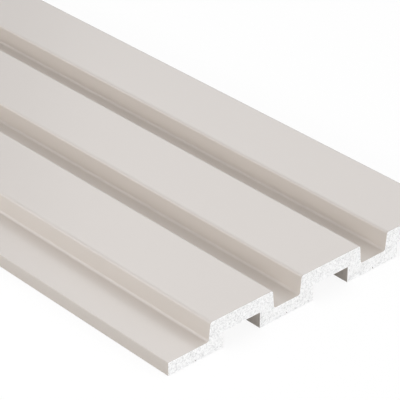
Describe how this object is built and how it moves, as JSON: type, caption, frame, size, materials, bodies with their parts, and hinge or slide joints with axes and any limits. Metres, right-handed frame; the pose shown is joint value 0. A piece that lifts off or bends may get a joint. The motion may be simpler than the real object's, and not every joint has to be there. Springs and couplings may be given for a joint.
{
  "type": "slat wall panel",
  "caption": "Ribbed wall cladding panel of rigid foam moulding: raised slats with grooves between them, hollowed behind, and a flange that laps under the next panel.",
  "frame": {"origin": "centre of the panel's bounding box, on the plane of its back", "axes": "+Y along the length, +Z out of the back towards the slats' faces, +X across from the bare flange to the lapping slat"},
  "size_m": [0.1256, 2.7, 0.012],
  "materials": {
    "skin": "warm light grey decorative skin over white rigid foam, matt with a faint sheen"
  },
  "bodies": {
    "root": {"slat_panel": "skin"}
  },
  "joints": []
}
